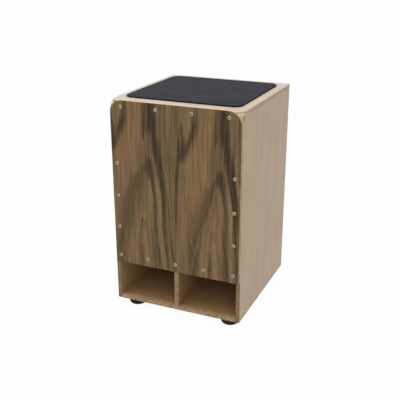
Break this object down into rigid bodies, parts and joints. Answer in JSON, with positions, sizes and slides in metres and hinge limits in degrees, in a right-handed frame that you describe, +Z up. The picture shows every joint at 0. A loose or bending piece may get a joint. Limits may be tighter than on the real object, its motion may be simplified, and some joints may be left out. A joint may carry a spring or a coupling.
{
  "type": "bass cajon",
  "caption": "Box drum with a screwed playing plate over a pair of front bass ports, sanded playing corners, a foam seat mat, inner snares and rubber feet.",
  "frame": {"origin": "on the floor under the middle of the whole drum, between its four feet", "axes": "+Z up, -Y towards the player's hands (the tapa and the ports), +X to the right as the tapa is looked at"},
  "size_m": [0.3, 0.3152, 0.492],
  "materials": {
    "side_ply": "satin lacquer",
    "seat_ply": "satin lacquer",
    "port_ply": "raw ply, lightly sealed",
    "batten_wood": "raw pine",
    "pad_foam": "matt foam",
    "tapa_veneer": "satin lacquered veneer",
    "screw_steel": "zinc plated",
    "snare_steel": "bright wire",
    "foot_rubber": "black, matt"
  },
  "bodies": {
    "root": {"side_panel_left": "side_ply", "side_panel_right": "side_ply", "top_panel": "seat_ply", "bottom_panel": "port_ply", "back_panel": "side_ply", "port_shelf": "port_ply", "port_divider": "port_ply", "front_batten_top": "batten_wood", "front_batten_bottom": "batten_wood", "front_batten_left": "batten_wood", "front_batten_right": "batten_wood", "snare_bar": "batten_wood", "seat_pad": "pad_foam", "tapa": "tapa_veneer", "tapa_screw_top_1": "screw_steel", "tapa_screw_top_2": "screw_steel", "tapa_screw_top_3": "screw_steel", "tapa_screw_top_4": "screw_steel", "tapa_screw_left_1": "screw_steel", "tapa_screw_left_2": "screw_steel", "tapa_screw_left_3": "screw_steel", "tapa_screw_right_1": "screw_steel", "tapa_screw_right_2": "screw_steel", "tapa_screw_right_3": "screw_steel", "tapa_screw_bottom_1": "screw_steel", "tapa_screw_bottom_2": "screw_steel", "tapa_screw_bottom_3": "screw_steel", "tapa_screw_bottom_4": "screw_steel", "tapa_screw_bottom_5": "screw_steel", "snare_set_left": "snare_steel", "snare_set_right": "snare_steel", "snare_screw_left_outer": "screw_steel", "snare_screw_left_inner": "screw_steel", "snare_screw_right_outer": "screw_steel", "snare_screw_right_inner": "screw_steel", "foot_front_left": "foot_rubber", "foot_front_right": "foot_rubber", "foot_rear_left": "foot_rubber", "foot_rear_right": "foot_rubber", "foot_screw_front_left": "screw_steel", "foot_screw_front_right": "screw_steel", "foot_screw_rear_left": "screw_steel", "foot_screw_rear_right": "screw_steel"}
  },
  "joints": []
}
